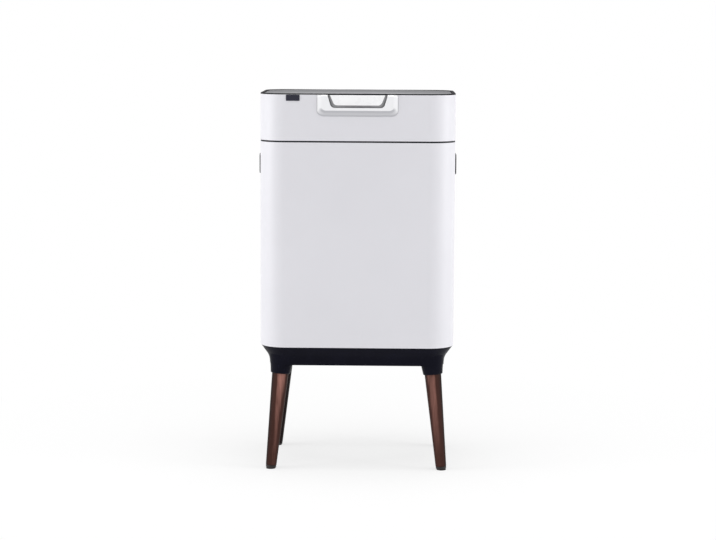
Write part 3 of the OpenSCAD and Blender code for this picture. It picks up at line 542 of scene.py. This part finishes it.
# %% [markdown]
# ## Walnut legs
# The legs are turned from walnut and lacquered. Wood grain follows the leg, and each leg leans its own
# way, so the pattern is turned to lie along that leg's axis before it is drawn out. A light, reddish stripe
# is a painted highlight: it runs down the front of the front legs and the back of the rear legs, turned a
# little towards the bin's middle and strongest near the top. Away from it the walnut is painted darker, as
# painted shade, so the sides are dark and the rear legs are dark from the front. Each leg has its own
# strength of painted highlight. The stripe's edge wanders with the grain, and thin dark pores run
# through both.

# %% Make the walnut
# Painted highlight and shade on the legs: each leg's highlight strength, the walnut from painted shade to
# lit, the highlight's colour and its turn towards the middle.
HIGHLIGHT_SHARE = {"leg_front_left": 1.0, "leg_front_right": 0.6, "leg_rear_left": 0.8, "leg_rear_right": 0.7}
HEARTWOOD_SHADED_TO_LIT = ((0.009, 0.0030, 0.0024), (0.052, 0.0205, 0.0155))
HIGHLIGHT_COLOR = (0.46, 0.215, 0.175)
HIGHLIGHT_TURN = math.radians(16)


def leg_line(name):
    """Top and bottom middle of a leg, from its own mesh."""
    points = [v.co for v in frame["nodes"][name].data.vertices]
    top, low = max(p.z for p in points), min(p.z for p in points)
    ends = []
    for level, keep in ((top, 0.012), (low, 0.004)):
        near = [p for p in points if abs(p.z - level) < keep]
        ends.append(sum(near, Vector()) / len(near))
    return ends


def walnut(name, highlight_share):
    """Wood whose grain follows one leg, with a painted highlight of that leg's strength in a stripe down one
    face, and painted shade away from it.
    """
    top, foot = leg_line(name)
    side, outward = math.copysign(1, foot.x), math.copysign(1, foot.y)
    highlight_direction = (-side * math.sin(HIGHLIGHT_TURN), outward * math.cos(HIGHLIGHT_TURN), 0)
    lean = (top - foot).to_track_quat("Z", "Y").inverted().to_euler()
    material = plain("walnut_" + name, HEARTWOOD_SHADED_TO_LIT[1], 0.45)
    tree = material.node_tree
    shader = tree.nodes["Principled BSDF"]
    shader.inputs["Specular IOR Level"].default_value = 0.08
    bands = pattern(material, 9.0, (9.0, 9.0, 0.7), lean, 4.0)
    fine = pattern(material, 30.0, (20.0, 20.0, 1.0), lean, 3.0)
    # Painted highlight and shade: lighter where the leg faces the stripe's direction, darker away from it.
    facing = toward(material, highlight_direction)
    wander = combine(tree, "ADD", facing, remap(tree, bands, 0.3, 0.7, -0.10, 0.10))
    highlight_stripe = remap(tree, wander, 0.86, 1.0, 0.0, 1.0)
    # The painted highlight is strongest near the top of the leg.
    strength = combine(tree, "MULTIPLY", highlight_stripe, along(material, "Z", 0.03, 0.165, 0.08 * highlight_share, highlight_share))
    strength = combine(tree, "MULTIPLY", strength, remap(tree, fine, 0.3, 0.7, 0.55, 1.0))
    body_color = vary_color(material, wander, *HEARTWOOD_SHADED_TO_LIT, 0.05, 0.80)
    link_color(material, blend_colors(tree, strength, body_color, HIGHLIGHT_COLOR))
    vary_roughness(material, fine, 0.40, 0.58)
    add_bump(material, fine, 0.00012, 0.4)
    cover([name], material)


for name, highlight_share in HIGHLIGHT_SHARE.items():
    walnut(name, highlight_share)
    top, foot = leg_line(name)
    print(name, "leans along", [round(x, 3) for x in (top - foot).normalized()])

# %% [markdown]
# ## Soft edges
# CAD edges are perfectly sharp, and nothing real is: sheet is folded over a radius and a moulding has a
# small fillet, which shows as a thin bright line. A bevel modifier on the CAD part would do for a box,
# but these parts come in as loose triangles, and a bevel across those leaves creases on the flat front.
# So each part is copied, its corners are joined, its flat areas merged into whole faces, and then its
# sharp edges are rounded. Whole faces can have holes in them, which Blender may fill in by mistake, so
# they are cut into triangles again at the end. Weighted normals keep the flat areas looking flat. Faces
# within FLAT_STEP degrees of each other are merged. The lid is crowned in facets that differ by a
# fraction of a degree, so there it is CROWN_STEP degrees.

# %% Make a piece that stands for a CAD part
body_of = {node: body for body, nodes in frame["record"]["behaviour"]["bodies"].items() for node in nodes}


def add_piece(name, shape, node):
    """Turns mesh work into a piece that stands for a CAD part: its finish, its body, its place."""
    for face in shape.faces:
        face.smooth = True
    mesh = bpy.data.meshes.new(name)
    shape.to_mesh(mesh)
    shape.free()
    piece = bpy.data.objects.new(name, mesh)
    bpy.context.scene.collection.objects.link(piece)
    mesh.materials.append(frame["nodes"][node].data.materials[0])
    piece.modifiers.new("even_shading", "WEIGHTED_NORMAL").keep_sharp = True
    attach(piece, body_of[node])
    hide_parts(node)
    return piece


print("bodies that pieces ride on:", sorted(set(body_of.values())))

# %% Round the edges
EDGE_RADIUS_MM = {"lid_panel": 0.9, "body_shell": 0.55, "hood_shell": 0.55, "seam_ring": 0.3,
                  "hood_frame": 0.4, "side_grip_left": 0.8, "side_grip_right": 0.8,
                  "push_pad_carrier": 0.3, "push_pad_cover": 0.5, "blank_plate": 0.25,
                  "floor_pan": 0.3, "lid_keeper": 0.15, "latch_rocker": 0.3}
MERGE_WITHIN = 0.01 * MM
FLAT_STEP = 0.5
CROWN_STEP = 0.03
ROUNDED_FROM = math.radians(35)
CREASED_FROM = math.radians(40)


def crease(shape, angle):
    """Shading is smooth over an edge, unless the faces there meet at this angle or more."""
    for edge in shape.edges:
        edge.smooth = not edge.is_manifold or edge.calc_face_angle() < angle


def rounded_copy(node, radius, flat_within):
    """A CAD part again, with its flat areas whole and its sharp edges rounded."""
    shape = bmesh.new()
    shape.from_mesh(frame["nodes"][node].data)
    bmesh.ops.remove_doubles(shape, verts=shape.verts, dist=MERGE_WITHIN)
    bmesh.ops.dissolve_limit(shape, angle_limit=math.radians(flat_within), verts=shape.verts,
                             edges=shape.edges)
    sharp = [e for e in shape.edges if e.is_manifold and e.calc_face_angle() > ROUNDED_FROM]
    bmesh.ops.bevel(shape, geom=sharp, offset=radius * MM, offset_type="OFFSET", segments=2, profile=0.5,
                    affect="EDGES", clamp_overlap=True)
    bmesh.ops.triangulate(shape, faces=[f for f in shape.faces if len(f.verts) > 4])
    crease(shape, CREASED_FROM)
    return add_piece("rounded_" + node, shape, node)


for node, radius in EDGE_RADIUS_MM.items():
    piece = rounded_copy(node, radius, CROWN_STEP if node == "lid_panel" else FLAT_STEP)
    print(piece.name, "has", len(piece.data.polygons), "faces")

# %% [markdown]
# ## The silver bezel
# The bezel is one pressed and painted part: a flat face, a steep step and a wide, shallow slope down to
# the hood, all following a U round the push pad. A CAD chamfer is too plain for the way light runs along
# it. We describe one cross-section and carry it along the U, so the slopes stay even round both corners.
# Each corner is a smooth curve between two straight runs, drawn as a Bezier so that its start and end are
# tangent. The sizes in these cells are in millimetres, and so are those of the bucket below.

# %% Measure the bezel
HOOD_FRONT = box_mm("hood_shell")[0][1]
HOOD_TOP = box_mm("hood_shell")[1][2]
SIDE_FIT = 0.05
BEZEL_LOW = box_mm("bezel")[0][2]
BEZEL_HALF_WIDTH = box_mm("bezel")[1][0] - SIDE_FIT
BEZEL_CORNER = (10.0, 13.0)
OPENING_LOW = 674.5
OPENING_HALF_WIDTHS = (54.5, 47.5)
OPENING_CORNER = (6.0, 6.0)
OUTER_SLOPES = [(0.0, 0.0, 0.0), (0.0, 0.0, 0.5), (0.5, 0.5, 0.95), (2.3, 3.6, 1.55), (4.0, 6.9, 2.1),
                (4.8, 7.4, 2.35), (7.3, 9.4, 3.2), (8.1, 10.0, 3.45), (8.9, 10.8, 3.5)]
INNER_EDGE = [(0.9, 3.5), (0.35, 3.35), (0.1, 2.9), (0.1, 0.0)]
print("bezel is", round(2 * BEZEL_HALF_WIDTH, 1), "mm wide and", round(HOOD_TOP - BEZEL_LOW, 1), "mm high")

# %% Draw its U
BEND_REACH = 0.56
BEND_STEPS = 10


def bend(a, corner, b):
    """Points on a smooth curve from a to b that leans towards a corner."""
    h1 = a + (corner - a) * BEND_REACH
    h2 = b + (corner - b) * BEND_REACH
    points = []
    for k in range(BEND_STEPS + 1):
        t = k / BEND_STEPS
        points.append(a * (1 - t) ** 3 + h1 * 3 * t * (1 - t) ** 2 + h2 * 3 * t * t * (1 - t) + b * t ** 3)
    return points


def u_path(half_top, half_low, low, side_radius, low_radius):
    """A U seen from the front, from its upper left end to its upper right end, in (x, z)."""
    top = Vector((-half_top, HOOD_TOP))
    corner = Vector((-half_low, low))
    up = (top - corner).normalized()
    turn = bend(corner + up * side_radius, corner, corner + Vector((low_radius, 0)))
    left = [top.lerp(turn[0], k / 5) for k in range(5)] + turn
    across = [turn[-1].lerp(Vector((-turn[-1].x, low)), k / 8) for k in range(1, 8)]
    return left + across + [Vector((-p.x, p.y)) for p in reversed(left)]


outline = u_path(BEZEL_HALF_WIDTH, BEZEL_HALF_WIDTH, BEZEL_LOW, *BEZEL_CORNER)
print("points along the U:", len(outline))

# %% Carry the cross-section along it


def bezel_shape():
    """The cross-section carried along the U.

    An outer slope is (inset at the sides, inset at the bottom, how far proud), and a point of the edge round
    the opening is (how much larger than the opening, how far proud). Both go from outside to inside.
    """
    rows = []
    for side, low, proud in OUTER_SLOPES:
        half = BEZEL_HALF_WIDTH - side
        path = u_path(half, half, BEZEL_LOW + low,
                      BEZEL_CORNER[0] - side * 0.3, BEZEL_CORNER[1] - side * 0.5)
        rows.append([(x, HOOD_FRONT - proud, z) for x, z in path])
    for grow, proud in INNER_EDGE:
        half_top, half_low = (half + grow for half in OPENING_HALF_WIDTHS)
        path = u_path(half_top, half_low, OPENING_LOW - grow, *OPENING_CORNER)
        rows.append([(x, HOOD_FRONT - proud, z) for x, z in path])
    shape = bmesh.new()
    grid = [[shape.verts.new(Vector(p) * MM) for p in row] for row in rows]
    for a, b in zip(grid, grid[1:] + grid[:1]):
        for k in range(len(a) - 1):
            shape.faces.new((a[k], a[k + 1], b[k + 1], b[k]))
    for k in (0, -1):
        shape.faces.new([row[k] for row in grid])
    bmesh.ops.recalc_face_normals(shape, faces=shape.faces)
    return shape


bezel = add_piece("pressed_bezel", bezel_shape(), "bezel")
print("bezel has", len(bezel.data.polygons), "faces")

# %% [markdown]
# ## Springs
# In the CAD model the springs are tubes with six sides and eight rings a turn, which is enough for its
# mass but looks like folded card. Here each is wound again from the same box and number of turns, with a
# round wire. The springs behind the pad and the latch shorten when the pad is pressed. The rocker turns as
# it goes back, and its upper edge goes furthest, so its spring shortens more than the pad moves. How far
# each shortens is listed, and each gets a mesh of its own, but nothing here makes them squash.

# %% Wind a coil
STEPS_PER_TURN = 28
WIRE_SIDES = 10


def wind(shape, start, along, across, length, radius, wire, turns):
    """Adds one coil: start is on its axis, along its direction, across a direction at right angles."""
    third = along.cross(across)
    pitch = (length - 2 * wire) / turns
    sides = [2 * math.pi * k / WIRE_SIDES for k in range(WIRE_SIDES)]
    rings = []
    for i in range(STEPS_PER_TURN * turns + 1):
        a = 2 * math.pi * i / STEPS_PER_TURN
        out = across * math.cos(a) + third * math.sin(a)
        middle = start + along * (wire + pitch * i / STEPS_PER_TURN) + out * radius
        round_wire = [middle + wire * (out * math.cos(b) + along * math.sin(b)) for b in sides]
        rings.append([shape.verts.new(point) for point in round_wire])
    for a, b in zip(rings, rings[1:]):
        for k in range(WIRE_SIDES):
            m = (k + 1) % WIRE_SIDES
            shape.faces.new((a[k], b[k], b[m], a[m]))
    shape.faces.new(rings[0])
    shape.faces.new(list(reversed(rings[-1])))


print("faces in one turn of wire:", STEPS_PER_TURN * WIRE_SIDES)

# %% Springs behind the pad and the latch
PRESS_SPRING_WIRE = 0.5 * MM
PAD_TRAVEL = 4.0 * MM
ROCKER_TRAVEL = 5.9 * MM


def springs(node, wire, turns):
    """Springs along Y, one at each outer end of the CAD box, or one in the middle of a narrow box."""
    low, high = (Vector(c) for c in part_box(node))
    outside = (high.z - low.z) / 2
    places = {low.x + outside, high.x - outside} if high.x - low.x > 3 * outside else {(low.x + high.x) / 2}
    shape = bmesh.new()
    for x in sorted(places):
        start = Vector((x, low.y, (low.z + high.z) / 2))
        wind(shape, start, Vector((0, 1, 0)), Vector((1, 0, 0)), high.y - low.y, outside - wire, wire, turns)
    bmesh.ops.recalc_face_normals(shape, faces=shape.faces)
    return add_piece("wound_" + node, shape, node)


for node, turns, shortening in (("pad_springs", 7, PAD_TRAVEL), ("latch_spring", 5, ROCKER_TRAVEL)):
    piece = springs(node, PRESS_SPRING_WIRE, turns)
    low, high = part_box(node)
    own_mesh(piece)
    print(piece.name, "is", round((high[1] - low[1]) / MM, 1), "mm long")

# %% Springs at the lid's hinge
LID_SPRING_WIRE = 0.8 * MM
LID_SPRING_LENGTH = 13.5 * MM
LID_SPRING_TURNS = 5

low, high = (Vector(c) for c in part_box("lid_springs"))
shape = bmesh.new()
for side in (-1, 1):
    start = Vector((side * (high.x - LID_SPRING_LENGTH), (low.y + high.y) / 2, (low.z + high.z) / 2))
    wind(shape, start, Vector((side, 0, 0)), Vector((0, 1, 0)), LID_SPRING_LENGTH,
         (high.z - low.z) / 2 - LID_SPRING_WIRE, LID_SPRING_WIRE, LID_SPRING_TURNS)
bmesh.ops.recalc_face_normals(shape, faces=shape.faces)
piece = add_piece("wound_lid_springs", shape, "lid_springs")
print(piece.name, "are", round(LID_SPRING_LENGTH / MM, 1), "mm long")

# %% [markdown]
# ## The inner bucket
# The bucket is blown or moulded plastic: a tapered tub with round corners, a rolled lip and two ears for
# the bail. Its CAD solid has flat facets at the corners. A loft fits it better: one rounded rectangle is
# drawn at each height, from the outside of the foot over the lip and down again to the inside of the
# floor, and the rows are joined. A row is given as (how far inside the lip, corner radius, height). The
# ears are short discs with a foot that runs into the lip.

# %% Measure the bucket
BUCKET_BASE = box_mm("bucket")[0][2]
BUCKET_HEIGHT = 330.0
BUCKET_TOP = BUCKET_BASE + BUCKET_HEIGHT
LIP_WIDTH, LIP_DEPTH = (2 * half for half in box_mm("bucket")[1][:2])
OUTSIDE = [(19.0, 24.0, BUCKET_BASE), (16.5, 26.5, BUCKET_BASE + 0.6), (15.2, 27.8, BUCKET_BASE + 2.6),
           (14.85, 28.0, BUCKET_BASE + 6), (4.0, 34.0, BUCKET_TOP - 4.6), (3.5, 34.5, BUCKET_TOP - 4)]
ROLLED_LIP = [(0.5, 37.5, BUCKET_TOP - 4), (0.0, 38.0, BUCKET_TOP - 3), (0.0, 38.0, BUCKET_TOP - 1.4),
              (0.7, 37.3, BUCKET_TOP - 0.2), (2.0, 36.0, BUCKET_TOP), (5.3, 32.7, BUCKET_TOP),
              (6.2, 31.8, BUCKET_TOP - 0.8)]
INSIDE = [(6.5, 31.6, BUCKET_TOP - 3), (17.2, 25.8, BUCKET_BASE + 8), (18.0, 25.0, BUCKET_BASE + 4.4),
          (21.0, 22.0, BUCKET_BASE + 2.4)]
print("bucket is", LIP_WIDTH, "by", LIP_DEPTH, "mm at its lip and", BUCKET_HEIGHT, "mm high")

# %% Loft the tub
CORNER_STEPS = 10


def ring(inset, radius, z):
    """Points round the bucket at one height: inset is how far inside its lip they are."""
    width, depth = LIP_WIDTH - 2 * inset, LIP_DEPTH - 2 * inset
    points = []
    for quarter, (sx, sy) in enumerate(((1, 1), (-1, 1), (-1, -1), (1, -1))):
        centre = Vector((sx * (width / 2 - radius), sy * (depth / 2 - radius), z))
        for k in range(CORNER_STEPS + 1):
            a = math.pi / 2 * (quarter + k / CORNER_STEPS)
            points.append((centre + Vector((math.cos(a), math.sin(a), 0)) * radius) * MM)
    return points


def bucket_shape():
    """The tub's wall, lofted from ring to ring, with both sides of its floor."""
    shape = bmesh.new()
    rows = [[shape.verts.new(p) for p in ring(*row)] for row in OUTSIDE + ROLLED_LIP + INSIDE]
    for a, b in zip(rows, rows[1:]):
        for k in range(len(a)):
            m = (k + 1) % len(a)
            shape.faces.new((a[k], a[m], b[m], b[k]))
    shape.faces.new(list(reversed(rows[0])))
    shape.faces.new(rows[-1])
    return shape


bucket_mesh = bucket_shape()
print("tub has", len(bucket_mesh.faces), "faces")

# %% Add the ears
EAR_OUT = 149.0
EAR_THICK = 3.0
EAR_PIVOT = BUCKET_TOP + 2.8
EAR_RADIUS = 6.5
EAR_FOOT = 1.5
EAR_SINKS = 2.5
EAR_ROUNDING = 0.5
EAR_STEPS = 16
BUCKET_CREASED_FROM = math.radians(50)


def add_ear(shape, x_low, x_high):
    """A rounded tongue that stands on the lip: half a disc on top, a foot that widens below."""
    angles = [math.pi * k / EAR_STEPS for k in range(EAR_STEPS + 1)]
    outline = [(EAR_RADIUS * math.cos(a), EAR_PIVOT + EAR_RADIUS * math.sin(a)) for a in angles]
    foot = EAR_RADIUS + EAR_FOOT
    outline += [(-foot, BUCKET_TOP - EAR_SINKS), (foot, BUCKET_TOP - EAR_SINKS)]
    ends = [[shape.verts.new(Vector((x, y, z)) * MM) for y, z in outline] for x in (x_low, x_high)]
    faces = [shape.faces.new(ends[0]), shape.faces.new(list(reversed(ends[1])))]
    for k in range(len(outline)):
        m = (k + 1) % len(outline)
        faces.append(shape.faces.new((ends[0][m], ends[0][k], ends[1][k], ends[1][m])))
    rims = [e for f in faces[:2] for e in f.edges]
    bmesh.ops.bevel(shape, geom=rims, offset=EAR_ROUNDING * MM, segments=2, profile=0.5, affect="EDGES")


for side in (-1, 1):
    add_ear(bucket_mesh, *sorted((side * (EAR_OUT - EAR_THICK), side * EAR_OUT)))
bmesh.ops.recalc_face_normals(bucket_mesh, faces=bucket_mesh.faces)
crease(bucket_mesh, BUCKET_CREASED_FROM)
bucket = add_piece("moulded_bucket", bucket_mesh, "bucket")
print("bucket has", len(bucket.data.polygons), "faces")

# %% [markdown]
# ## The dressed size
# The dressed bin has to stay inside the space of its CAD parts. Its size is printed here.

# %% Print the dressed size
low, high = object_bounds()
print("dressed size in mm:", [round((b - a) / MM, 1) for a, b in zip(low, high)])
